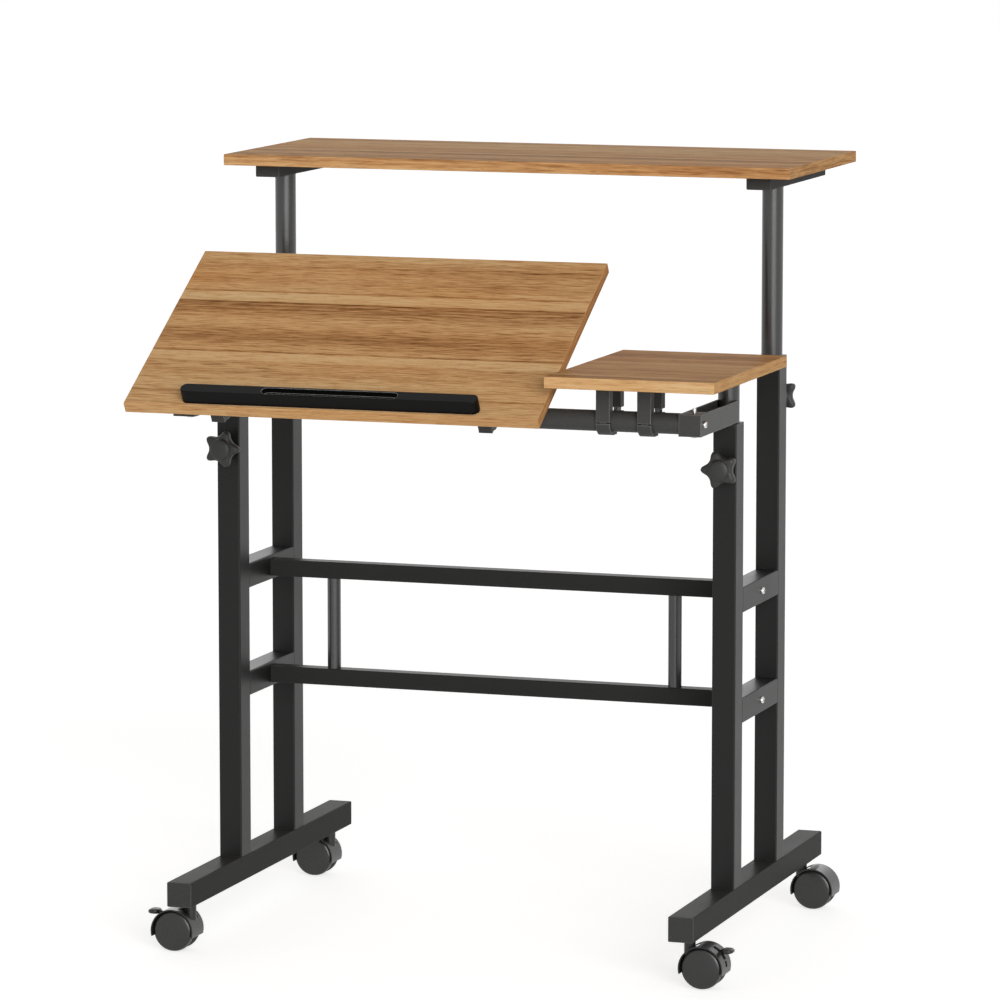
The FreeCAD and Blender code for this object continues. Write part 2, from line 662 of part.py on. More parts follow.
# Hook: a strap under the rail with a tongue in front, a squared heel and an ear behind
def hook(name, centre, toed):
    wide = (centre + " - clamp_w / 2", centre + " + clamp_w / 2")
    narrow = (centre + " - ear_w / 2", centre + " + ear_w / 2")
    ring = rod(name + "_ring", "clamp_r", "clamp_w", (wide[0], "0", "0"), "x")
    above = block(
        name + "_above",
        (centre + " - clamp_w", centre + " + clamp_w"),
        ("-2 * clamp_r", "2 * clamp_r"),
        ("-1 * lip - lip_drop", "2 * clamp_r"),
    )
    corners = [block(name + "_heel", wide, ("0", "heel"), ("-1 * clamp_r", "-1 * clamp_r / 2"))]
    if toed:
        corners.append(block(name + "_toe", wide, ("-1 * clamp_r", "0"), ("-1 * toe", "-1 * lip - lip_drop")))
    lower = cut(name + "_lower", fuse(name + "_strap", ring, *corners), above)
    rise = block(name + "_rise", narrow, ("rail_r + 0.3", "clamp_r"), ("-1 * ear_t", "ear_top"))
    ear = block(name + "_ear", narrow, ("rail_r + 0.3", "ear_out"), ("ear_top - ear_t", "ear_top"))
    tongue = block(
        name + "_tongue",
        (centre + " - tongue_w / 2", centre + " + tongue_w / 2"),
        ("-1 * rail_r - tongue_t - 0.5", "-1 * rail_r - 0.5"),
        ("-5", "tongue_h"),
    )
    rail = rod(name + "_rail", "rail_r + grip_gap", "clamp_w + 4", (wide[0] + " - 2", "0", "0"), "x")
    hole = rod(name + "_hole", "small_r + hole_gap", "ear_t + 4", (centre, "ear_bolt", "ear_top - ear_t - 2"))
    return cut(name, fuse(name + "_solid", lower, rise, ear, tongue), rail, hole)


def clamp_bolt(name, centre):
    made = bolt(name, "small_head_r", "small_head_t", "small_r", "ear_t + lock_t + 13")
    return at(aim(made, "-z"), centre, "ear_bolt", "ear_top - ear_t")


def clamp_nut(name, centre):
    made = nut(name, "small_head_r + 0.4", "lock_t", "small_r + run_gap")
    return at(made, centre, "ear_bolt", "ear_top")


def wood_screw(name, x, y, z, length):
    made = bolt(name, "screw_head_r", "screw_head_t", "screw_r", length)
    return at(aim(made, "-z"), x, y, z)


# Puts a set built round the rail axis on the rail, turned by its slope
def on_rail(obj, slope=None):
    obj.Placement = FreeCAD.Placement(V(0, 0, 0), FreeCAD.Rotation(V(1, 0, 0), 10 if slope else 0))
    if slope:
        bind(obj, "Placement.Rotation.Angle", slope)
    return at(obj, "0", "frame_y - rail_y", "rail_z")


# A board on the rail with its clamps and fasteners
def board_set(word, left, right, depth, seat, centres, slope, stops=()):
    board = slab(word + "_slab", "%s - (%s)" % (right, left), depth, "board_t")
    at(board, "(%s + %s) / 2" % (left, right), "%s / 2 - overhang" % depth, seat)
    pilots = []
    clamps = []
    hooks = []
    bolts = []
    screws = []
    for k, centre in enumerate(centres):
        tag = "%s_%d" % (word, k)
        clamps.append(clamp(tag + "_clamp", centre, seat))
        hooks.append(hook(tag + "_hook", centre, slope is not None))
        bolts.append(clamp_bolt(tag + "_clamp_bolt", centre))
        bolts.append(clamp_nut(tag + "_clamp_nut", centre))
        for j, way in enumerate((-1, 1)):
            x = "%s + %d * flange_screw" % (centre, way)
            name = "%s_screw_%d" % (tag, j)
            y = "ear_bolt / 3"
            screws.append(wood_screw(name, x, y, seat + " - flange_t", "flange_t + screw_bite"))
            start = (x, y, seat + " - 0.5")
            pilots.append(rod(name + "_pilot", "screw_r + grip_gap", "screw_bite + 1", start))
    for j, x in enumerate(stops):
        y = "stop_set + stop_d / 2 - overhang"
        name = "%s_stop_screw_%d" % (word, j)
        screws.append(wood_screw(name, x, y, seat, "board_t + 8"))
        pilots.append(rod(name + "_pilot", "screw_r + grip_gap", "board_t + 2", (x, y, seat + " - 1")))
    keep(on_rail(cut(word + "_board_wood", board, *pilots), slope), word + "_board")
    keep(on_rail(group(word + "_clamp_set", clamps), slope), word + "_board_clamps")
    keep(on_rail(group(word + "_hook_set", hooks), slope), word + "_clamp_hooks")
    keep(on_rail(group(word + "_bolt_set", bolts), slope), word + "_clamp_bolts")
    keep(on_rail(group(word + "_screw_set", screws), slope), word + "_board_screws")


stop_screws = ("stop_left + stop_screw", "stop_right - stop_screw")
tilt_clamps = ("tilt_clamp_left", "tilt_clamp_right")
side_clamps = ("side_clamp_left", "side_clamp_right")
board_set("tilt", "tilt_left", "tilt_right", "tilt_depth", "tilt_seat", tilt_clamps, "tilt", stop_screws)
board_set("side", "side_left", "side_right", "side_depth", "side_seat", side_clamps, None)


# Ledge along the tilting board's lower edge, with a pen slot
def ledge():
    body = doc.addObject("PartDesign::Body", "ledge_bar")
    sketch = sketch_on(body, "ledge_outline")
    add_rectangle(sketch, "stop_right - stop_left", "stop_d")
    pad = extrude(body, "Pad", sketch, "stop_h")
    ends = soften(body, pad, "stop_end_r", is_upright)
    soften(body, ends, "stop_r", level_at(pad.Length.Value))
    floor = "tilt_seat + board_t"
    middle = "stop_set + stop_d / 2 - overhang"
    at(body, "(stop_left + stop_right) / 2", middle, floor)
    base = floor + " + stop_h - slot_deep"
    line = middle + " - slot_set"
    slot = block(
        "ledge_slot",
        ("slot_left + slot_w / 2", "slot_right - slot_w / 2"),
        (line + " - slot_w / 2", line + " + slot_w / 2"),
        (base, base + " + 2 * slot_deep"),
    )
    slot_ends = [
        rod("ledge_slot_left", "slot_w / 2", "2 * slot_deep", ("slot_left + slot_w / 2", line, base)),
        rod("ledge_slot_right", "slot_w / 2", "2 * slot_deep", ("slot_right - slot_w / 2", line, base)),
    ]
    pilots = [
        rod("ledge_pilot_%d" % k, "screw_r + grip_gap", "9", (x, middle, floor + " - 0.5"))
        for k, x in enumerate(stop_screws)
    ]
    return cut("ledge_plastic", body, slot, *slot_ends, *pilots)


keep(on_rail(ledge(), "tilt"), "tilt_board_ledge")


# Shelf carriers on the rear inner tubes: closed tubes, drilled for the shelf screws
def carrier(name, side, stations):
    x = "%d * post_x" % side
    low = "shelf_top - board_t - carrier_h"
    front = "frame_y + carrier_front"
    bar = aim(beam(name + "_bar", "carrier_w", "carrier_h", "carrier_len"), "y")
    at(bar, x, front, low + " + carrier_h / 2")
    hollow = block(
        name + "_hollow",
        (x + " - carrier_w / 2 + wall", x + " + carrier_w / 2 - wall"),
        (front + " + plate", front + " + carrier_len - plate"),
        (low + " + wall", low + " + carrier_h - wall"),
    )
    holes = []
    for k, y in enumerate(stations):
        holes.append(rod("%s_reach_%d" % (name, k), "screw_head_r + 0.8", "6", (x, y, low + " - 3")))
        start = (x, y, low + " + carrier_h - 3")
        holes.append(rod("%s_hole_%d" % (name, k), "screw_r + hole_gap", "6", start))
    return cut(name, bar, hollow, *holes)


stations = [
    "frame_y + carrier_front + carrier_inset",
    "frame_y + carrier_front + carrier_len - carrier_inset",
]
shelf_low = "shelf_top - board_t"
shelf_screws = []
shelf_pilots = []
for word, side in SIDES:
    name = "rear_%s_tube" % word
    tube = inner_tube(name, side, 1, "rear_tube_low", "(shelf_top - board_t - carrier_h)")
    keep(tube, "rear_%s_inner_tube" % word)
    keep(carrier(word + "_carrier", side, stations), "%s_shelf_bracket" % word)
    for k, y in enumerate(stations):
        x = "%d * post_x" % side
        tag = "%s_shelf_screw_%d" % (word, k)
        shelf_screws.append(wood_screw(tag, x, y, shelf_low + " - wall", "wall + screw_bite"))
        pilot = rod(tag + "_pilot", "screw_r + grip_gap", "screw_bite + 1", (x, y, shelf_low + " - 0.5"))
        shelf_pilots.append(pilot)
shelf = slab("shelf_slab", "shelf_len", "shelf_depth", "board_t")
at(shelf, "0", "frame_y + shelf_front + shelf_depth / 2", shelf_low)
keep(cut("shelf_wood", shelf, *shelf_pilots), "shelf_board")
keep(group("shelf_screw_set", shelf_screws), "shelf_screws")


# Star knob with a domed hub and a moulded-in stud
def star_knob(name, side, end, knob_z):
    body = doc.addObject("PartDesign::Body", name + "_grip")
    disc = raised(sketch_on(body, name + "_disc"), "neck_t")
    add_circle(disc, "knob_r")
    extrude(body, "Pad", disc, "knob_t")
    dent = raised(sketch_on(body, name + "_dent"), "neck_t")
    add_circle(dent, "knob_dent", "knob_dent_x")
    pocket = extrude(body, "Pocket", dent, "knob_t", back=True)
    ring = body.newObject("PartDesign::PolarPattern", name + "_ring")
    ring.Originals = [pocket]
    ring.Axis = ([a for a in body.Origin.OriginFeatures if a.Role == "Z_Axis"][0], [""])
    ring.Angle = 360
    ring.Occurrences = 5
    body.Tip = ring
    doc.recompute()
    lobes = soften(body, ring, "lobe_r", is_upright)
    back = sheet.get("neck_t")
    front = back + sheet.get("knob_t")
    soften(body, lobes, "rim_r", lambda edge: level_at(front)(edge) or level_at(back)(edge))
    hub = raised(sketch_on(body, name + "_hub"), "neck_t")
    add_circle(hub, "hub_r")
    rise = extrude(body, "Pad", hub, "hub_t - neck_t")
    soften(body, rise, "dome_r", level_at(sheet.get("hub_t")))
    neck = sketch_on(body, name + "_neck")
    add_circle(neck, "neck_r")
    extrude(body, "Pad", neck, "neck_t + 1")
    hole = sketch_on(body, name + "_hole")
    add_circle(hole, "stud_r + run_gap / 4")
    extrude(body, "Pocket", hole, "stud_in + 0.5", back=True)
    x, y = post_at(side, end)
    axis = "-y" if end < 0 else "y"
    back = "%s + %d * (post_d / 2 + boss_t + knob_gap)" % (y, end)
    at(aim(body, axis, 0 if side > 0 else 180), x, back, knob_z)
    tip = "%s + %d * (inner_r + tip_gap)" % (y, end)
    length = "post_d / 2 + boss_t + knob_gap + stud_in - inner_r - tip_gap"
    stud = rod(name + "_stud", "stud_r", length, (x, tip, knob_z), axis)
    return group(name, (body, stud))


for word, side in SIDES:
    for place, end, top, knob_z in posts:
        keep(star_knob("%s_%s_star" % (place, word), side, end, knob_z), "%s_%s_knob" % (place, word))


# Turns a set built round a caster's swivel axis outwards and puts it under its foot
def on_foot(obj, side, end):
    obj.Placement = FreeCAD.Placement(V(0, 0, 0), FreeCAD.Rotation(V(0, 0, 1), 0 if side > 0 else 180))
    return at(obj, "%d * post_x" % side, "frame_y + %d * caster_y" % end, "0")


def stem(name):
    pin = rod(name + "_pin", "pin_r", "foot_z - collar_t / 2 - pin_low", ("0", "0", "pin_low"))
    collar = rod(name + "_collar", "collar_r", "collar_t", ("0", "0", "foot_z - collar_t"))
    root = ("0", "0", "foot_z - collar_t / 2")
    thread = rod(name + "_thread", "thread_r", "thread_len + collar_t / 2", root)
    return fuse(name, pin, collar, thread)


# Hood: a band over both wheels, a web between them and a socket for the stem
def hood(name, braked):
    axle = ("trail", "wheel_r")
    shell = rod(name + "_shell", "hood_r", "hood_w", (axle[0], "hood_w / 2", axle[1]), "-y")
    bind(shell, "Angle", "hood_arc")
    aim(shell, "-y", (180 - sheet.get("hood_arc")) / 2)
    at(shell, axle[0], "hood_w / 2", axle[1])
    room = rod(name + "_room", "hood_in", "hood_w + 2", (axle[0], "hood_w / 2 + 1", axle[1]), "-y")
    web = rod(name + "_web", "hood_in + 0.4", "web_w", (axle[0], "web_w / 2", axle[1]), "-y")
    below = block(
        name + "_below",
        ("trail - 2 * hood_r", "trail + 2 * hood_r"),
        ("-1 * hood_w", "hood_w"),
        ("-1 * hood_r", "web_low"),
    )
    notch = block(
        name + "_notch",
        ("-1 * hood_r", "notch_u"),
        ("-1 * notch_w / 2", "notch_w / 2"),
        ("notch_low", "foot_z"),
    )
    shape = cut(
        name + "_form",
        fuse(name + "_dome", cut(name + "_band", shell, room), cut(name + "_keel", web, below)),
        notch,
    )
    socket = rod(name + "_socket", "socket_r", "socket_top - socket_low", ("0", "0", "socket_low"))
    clear = rod(name + "_clear", "pin_r + run_gap", "socket_top", ("0", "0", "pin_low - 0.4"))
    axle_at = ("trail", "web_w / 2 + 1", "wheel_r")
    bore = rod(name + "_bore", "axle_r + run_gap / 4", "web_w + 2", axle_at, "-y")
    tools = [clear, bore]
    if braked:
        mouth = block(
            name + "_mouth",
            ("lever_u - mouth_r", "hood_r + trail + 2"),
            ("-1 * mouth_w / 2", "mouth_w / 2"),
            ("lever_z - mouth_r", "foot_z"),
        )
        pivot_at = ("lever_u", "web_w / 2 + 1", "lever_z")
        pivot = rod(name + "_pivot", "trunnion_r + run_gap", "web_w + 2", pivot_at, "-y")
        window = block(
            name + "_window",
            ("trail + hood_r - 8", "trail + hood_r + 2"),
            ("-1 * window_w / 2", "window_w / 2"),
            ("window_low", "window_top"),
        )
        tools.extend((mouth, pivot, window))
    return cut(name, fuse(name + "_body", shape, socket), *tools)


# Wheel with a blind bore, its outer face away from the caster's middle
def wheel(name, way):
    body = doc.addObject("PartDesign::Body", name + "_disc")
    tread = sketch_on(body, name + "_tread")
    add_circle(tread, "wheel_r")
    pad = extrude(body, "Pad", tread, "wheel_w")
    soften(body, pad, "wheel_edge", lambda edge: edge.BoundBox.ZLength < 0.01)
    hole = sketch_on(body, name + "_bore")
    add_circle(hole, "axle_r + run_gap")
    extrude(body, "Pocket", hole, "bore_deep", back=True)
    aim(body, "y" if way > 0 else "-y")
    at(body, "trail", "%d * wheel_in" % way, "wheel_r")
    return group(name, (body,))


# Brake lever: a pivot barrel with trunnions, an arm and a rounded paddle
def lever(name):
    barrel = rod(name + "_barrel", "barrel_r", "lever_w", ("lever_u", "lever_w / 2", "lever_z"), "-y")
    pins_at = ("lever_u", "web_w / 2 - hole_gap", "lever_z")
    trunnions = rod(name + "_trunnions", "trunnion_r", "web_w - 2 * hole_gap", pins_at, "-y")
    low, high = "lever_z + lever_rise", "lever_z + lever_rise + lever_t"
    arm = block(name + "_arm", ("lever_u", "paddle_u + 2"), ("-1 * lever_w / 2", "lever_w / 2"), (low, high))
    paddle = doc.addObject("PartDesign::Body", name + "_paddle")
    sketch = sketch_on(paddle, name + "_outline")
    add_rectangle(sketch, "reach - paddle_u", "paddle_w")
    pad = extrude(paddle, "Pad", sketch, "paddle_t")
    ends = soften(paddle, pad, "paddle_r", is_upright)
    soften(paddle, ends, "paddle_edge", lambda edge: edge.BoundBox.ZLength < 0.01)
    at(paddle, "(reach + paddle_u) / 2", "0", low + " - paddle_drop")
    return fuse(name, barrel, trunnions, arm, paddle)


stems = []
for word, side in SIDES:
    for place, end, braked in (("front", -1, True), ("rear", 1, False)):
        tag = "%s_%s_caster" % (place, word)
        stems.append(on_foot(stem(tag + "_stem"), side, end))
        lock = nut(tag + "_stem_nut", "nut_r", "nut_t", "thread_r + run_gap")
        stems.append(at(lock, "%d * post_x" % side, "frame_y + %d * caster_y" % end, "foot_z + wall"))
        keep(on_foot(hood(tag + "_shroud", braked), side, end), tag + "_hood")
        axle = rod(tag + "_pin", "axle_r", "axle_len", ("trail", "axle_len / 2", "wheel_r"), "-y")
        keep(on_foot(group(tag + "_axle_pin", (axle,)), side, end), tag + "_axle")
        for name, way in (("front", -1), ("back", 1)):
            made = wheel("%s_%s_roll" % (tag, name), way * side)
            keep(on_foot(made, side, end), "%s_%s_wheel" % (tag, name))
        if braked:
            keep(on_foot(lever(tag + "_pedal"), side, end), tag + "_brake_lever")
keep(group("stem_set", stems), "caster_stems")

doc.recompute()

# Every object must have worked out before anything is written
for obj in doc.Objects:
    if "Invalid" in obj.State or "Error" in obj.State:
        raise RuntimeError("%s failed: %s" % (obj.Name, obj.State))
for node in nodes:
    if node.Shape.isNull() or not node.Shape.isValid():
        raise RuntimeError("%s has no valid shape" % node.Label)

for node in nodes:
    node.Shape.exportStep("parts/%s.step" % node.Label)
print(len(nodes), "nodes written")
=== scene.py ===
import json
import math

import bpy
from mathutils import Matrix, Vector


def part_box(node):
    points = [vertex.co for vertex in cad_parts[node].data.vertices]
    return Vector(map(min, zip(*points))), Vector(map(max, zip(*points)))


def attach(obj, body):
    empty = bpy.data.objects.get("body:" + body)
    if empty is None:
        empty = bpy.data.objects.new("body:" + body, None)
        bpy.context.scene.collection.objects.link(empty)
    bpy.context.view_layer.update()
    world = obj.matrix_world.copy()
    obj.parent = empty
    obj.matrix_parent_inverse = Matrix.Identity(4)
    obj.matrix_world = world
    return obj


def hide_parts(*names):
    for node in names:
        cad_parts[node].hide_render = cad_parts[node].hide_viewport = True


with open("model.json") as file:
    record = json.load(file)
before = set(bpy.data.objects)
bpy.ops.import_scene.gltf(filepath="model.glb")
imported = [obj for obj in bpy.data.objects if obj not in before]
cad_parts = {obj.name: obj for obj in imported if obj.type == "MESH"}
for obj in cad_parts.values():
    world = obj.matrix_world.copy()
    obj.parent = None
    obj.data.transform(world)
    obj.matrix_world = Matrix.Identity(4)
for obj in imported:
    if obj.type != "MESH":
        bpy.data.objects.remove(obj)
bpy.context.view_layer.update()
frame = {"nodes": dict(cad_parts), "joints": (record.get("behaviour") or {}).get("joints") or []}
NODES = frame["nodes"]
JOINTS = {joint["name"]: joint for joint in frame["joints"]}
MM = 0.001

# Camera, fitted to the straight edges of the object
CAMERA_PLACE = Vector((2.1312, -6.3219, 1.4186))
CAMERA_AZIMUTH = math.radians(18.607)
CAMERA_DOWN = math.radians(7.699)
CAMERA_LENS = 205.66
SENSOR_WIDTH = 36.0

# Light levels, as multiples of a white card's brightness
AMBIENT = 0.27
KEY = 0.95
FILL = 0.25
BACKGROUND = 1.0
FLOOR_LIFT = 0.64

# The slope of the tilting board at rest, which its joint takes back to level
TILT = -math.radians(JOINTS["tilt_board_angle"]["range_deg"][0])


class Paint:
    """A material under construction: adds shader nodes and wires them to the surface."""

    def __init__(self, name):
        self.material = bpy.data.materials.new(name)
        self.material.use_nodes = True
        self.nodes = self.material.node_tree.nodes
        self.links = self.material.node_tree.links
        self.surface = self.nodes["Principled BSDF"]
        self.object_place = self.node("TexCoord").outputs["Object"]

    def put(self, socket, value):
        if isinstance(value, bpy.types.NodeSocket):
            self.links.new(value, socket)
        else:
            socket.default_value = value

    def node(self, kind, inputs=None, **settings):
        made = self.nodes.new("ShaderNode" + kind)
        for key, value in settings.items():
            setattr(made, key, value)
        for key, value in (inputs or {}).items():
            self.put(made.inputs[key], value)
        return made

    def math(self, operation, *values):
        made = self.node("Math", operation=operation)
        for socket, value in zip(made.inputs, values):
            self.put(socket, value)
        return made.outputs[0]

    def scaled(self, value, low, high):
        """Carries 0 to 1 over to low to high."""
        made = self.node("MapRange", {"Value": value, "To Min": low, "To Max": high})
        return made.outputs[0]

    def between(self, value, low, high):
        """Carries low to high over to 0 to 1."""
        made = self.node("MapRange", {"Value": value, "From Min": low, "From Max": high})
        return made.outputs[0]

    def stretched(self, vector, scale):
        made = self.node("VectorMath", {0: vector, 1: scale}, operation="MULTIPLY")
        return made.outputs[0]

    def noise(self, vector, scale, detail=2.0, roughness=0.5):
        inputs = {"Vector": vector, "Scale": scale, "Detail": detail, "Roughness": roughness}
        return self.node("TexNoise", inputs).outputs[0]

    def mix(self, share, first, second, blend="MIX"):
        made = self.node("Mix", data_type="RGBA", blend_type=blend)
        for index, value in ((0, share), (6, first), (7, second)):
            self.put(made.inputs[index], value)
        return made.outputs[2]

    def ramp(self, value, stops):
        made = self.node("ValToRGB", {"Fac": value})
        elements = made.color_ramp.elements
        elements.remove(elements[1])
        elements[0].position = stops[0][0]
        elements[0].color = (*stops[0][1], 1)
        for place, colour in stops[1:]:
            elements.new(place).color = (*colour, 1)
        return made.outputs["Color"]

    def bump(self, height, depth, strength, normal=None):
        inputs = {"Height": height, "Distance": depth, "Strength": strength}
        if normal is not None:
            inputs["Normal"] = normal
        return self.node("Bump", inputs).outputs[0]

    def rounded(self, radius):
        return self.node("Bevel", {"Radius": radius}, samples=4).outputs[0]

    def edges(self, radius):
        """1 along outer and inner edges, 0 on flat and gently curved faces."""
        normal = self.node("NewGeometry").outputs["Normal"]
        made = self.node("VectorMath", {0: self.rounded(radius), 1: normal}, operation="DOT_PRODUCT")
        bend = self.math("SUBTRACT", 1.0, made.outputs["Value"])
        return self.between(bend, 0.02, 0.16)

    def crevice_shade(self, reach):
        """Mask for painted shade: 1 deep in joints and inner corners, 0 on open faces."""
        made = self.node("AmbientOcclusion", {"Distance": reach}, samples=8)
        return self.between(made.outputs["AO"], 0.55, 0.15)

    def finish(self, **sockets):
        for name, value in sockets.items():
            self.put(self.surface.inputs[name.replace("_", " ")], value)
        return self.material


def grey(level):
    return (level, level, level * 0.97, 1.0)


def powder_coat(name, shade, sheen, gloss, edge_wear_and_highlight_tone, ends=1.0):
    """Charcoal powder coat: fine orange peel, uneven sheen, edges paler partly from wear and partly as a
    painted highlight, and painted shade in joints and corners.

    The faces at the front and back ends are painted paler by the factor ends, as painted light on those
    faces.
    """
    p = Paint(name)
    clouds = p.noise(p.object_place, 9.0, 4.0, 0.6)
    speckle = p.noise(p.object_place, 1400.0, 2.0)
    peel = p.noise(p.object_place, 420.0, 3.0, 0.55)
    tone = p.mix(p.scaled(clouds, 0.2, 0.8), grey(shade * 0.86), grey(shade * 1.14))
    tone = p.mix(p.math("GREATER_THAN", speckle, 0.66), tone, grey(shade * 1.9))
    # Painted light: the front and back end faces are made paler by the factor ends, for the light falling
    # on them
    look = p.node("SeparateXYZ", {0: p.node("TexCoord").outputs["Normal"]}).outputs
    is_end = p.math("GREATER_THAN", p.math("ABSOLUTE", look["Y"]), 0.7)
    tone = p.mix(is_end, tone, (ends, ends, ends, 1), "MULTIPLY")
    uneven = p.noise(p.object_place, 60.0, 4.0)
    # Edges paler, broken by noise: partly wear, partly a painted highlight
    edge_wear_and_highlight = p.math("MULTIPLY", p.edges(1.8 * MM), p.scaled(uneven, 0.2, 0.9))
    tone = p.mix(edge_wear_and_highlight, tone, grey(edge_wear_and_highlight_tone))
    # Painted shade: the colour goes nearly black deep in joints and inner corners, where shade falls
    tone = p.mix(p.crevice_shade(4 * MM), tone, grey(0.002))
    return p.finish(
        Base_Color=tone,
        Roughness=p.scaled(clouds, sheen * 0.85, sheen * 1.2),
        Normal=p.bump(peel, 0.12 * MM, 0.22, p.rounded(1.0 * MM)),
        Specular_IOR_Level=gloss,
    )


def moulding(name, shade, roughness, gloss, grain=1100.0, rim=0.05, rim_share=0.4):
    """Injection-moulded plastic: spark-eroded grain, soft flow marks and a painted highlight along the
    edges.
    """
    p = Paint(name)
    flow = p.noise(p.stretched(p.object_place, (14.0, 14.0, 30.0)), 1.0, 4.0, 0.6)
    grains = p.noise(p.object_place, grain, 3.0, 0.6)
    tone = p.mix(p.scaled(flow, 0.25, 0.75), grey(shade * 0.88), grey(shade * 1.12))
    # Painted highlight: edges paler by rim, over a share of up to rim_share
    tone = p.mix(p.scaled(p.edges(0.8 * MM), 0.0, rim_share), tone, grey(shade + rim))
    return p.finish(
        Base_Color=tone,
        Roughness=p.scaled(grains, roughness - 0.08, roughness + 0.08),
        Normal=p.bump(grains, 0.1 * MM, 0.2, p.rounded(0.5 * MM)),
        Specular_IOR_Level=gloss,
    )


def bare_metal(name, colour, roughness, lines):
    """Plated or turned steel: fine tool marks and a faint bloom in the plating."""
    p = Paint(name)
    bloom = p.noise(p.object_place, 160.0, 3.0, 0.6)
    marks = p.noise(p.stretched(p.object_place, lines), 1.0, 2.0)
    dull = tuple(c * 0.78 for c in colour)
    tone = p.mix(p.scaled(bloom, 0.1, 0.9), (*dull, 1.0), (*colour, 1.0))
    return p.finish(
        Base_Color=tone,
        Metallic=1.0,
        Roughness=p.scaled(marks, roughness - 0.07, roughness + 0.09),
        Normal=p.bump(marks, 0.04 * MM, 0.3, p.rounded(0.3 * MM)),
    )


# Laminate tones, darkest streak to palest
LAMINATE = (
    (0.10, (0.150, 0.062, 0.022)),
    (0.28, (0.330, 0.155, 0.059)),
    (0.46, (0.533, 0.282, 0.118)),
    (0.58, (0.634, 0.366, 0.163)),
    (0.72, (0.700, 0.452, 0.222)),
    (0.92, (0.755, 0.535, 0.295)),
)
# Tone across one width of the print, front to back: each stave, with a dark line where two meet sharply
PRINT_WIDTH = 300 * MM
STAVES = (
    (0.000, 0.60), (0.080, 0.58), (0.095, 0.40), (0.105, 0.61), (0.190, 0.58), (0.215, 0.51), (0.285, 0.50),
    (0.300, 0.64), (0.345, 0.63), (0.352, 0.30), (0.362, 0.53), (0.430, 0.43), (0.480, 0.46), (0.540, 0.55),
    (0.580, 0.50), (0.620, 0.41), (0.665, 0.37), (0.672, 0.24), (0.680, 0.60), (0.735, 0.62), (0.742, 0.32),
    (0.752, 0.54), (0.830, 0.46), (0.860, 0.53), (0.905, 0.50), (0.912, 0.40), (0.925, 0.50), (1.000, 0.57),
)


